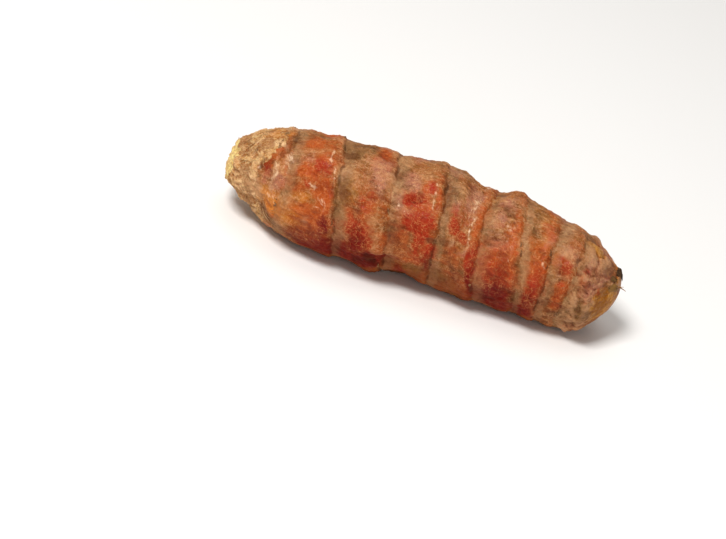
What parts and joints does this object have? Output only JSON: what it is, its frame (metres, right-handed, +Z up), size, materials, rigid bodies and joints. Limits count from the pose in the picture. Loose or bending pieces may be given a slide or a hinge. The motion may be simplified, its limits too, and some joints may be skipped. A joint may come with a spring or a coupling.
{
  "type": "turmeric root",
  "caption": "Whole finger of fresh turmeric lying on its side, with ring-shaped leaf scars, bud and root scars, a torn base and a blunt growing tip.",
  "frame": {"origin": "on the surface it lies on, under the middle of the finger's own box", "axes": "+X along the finger from the torn base to the growing tip, +Z up"},
  "size_m": [0.0862, 0.0276, 0.0249],
  "materials": {
    "rhizome_skin": "thin damp skin, orange-brown and rubbed to orange-red in patches, tan and fibrous at the torn base"
  },
  "bodies": {
    "root": {"turmeric_rhizome": "rhizome_skin"}
  },
  "joints": []
}
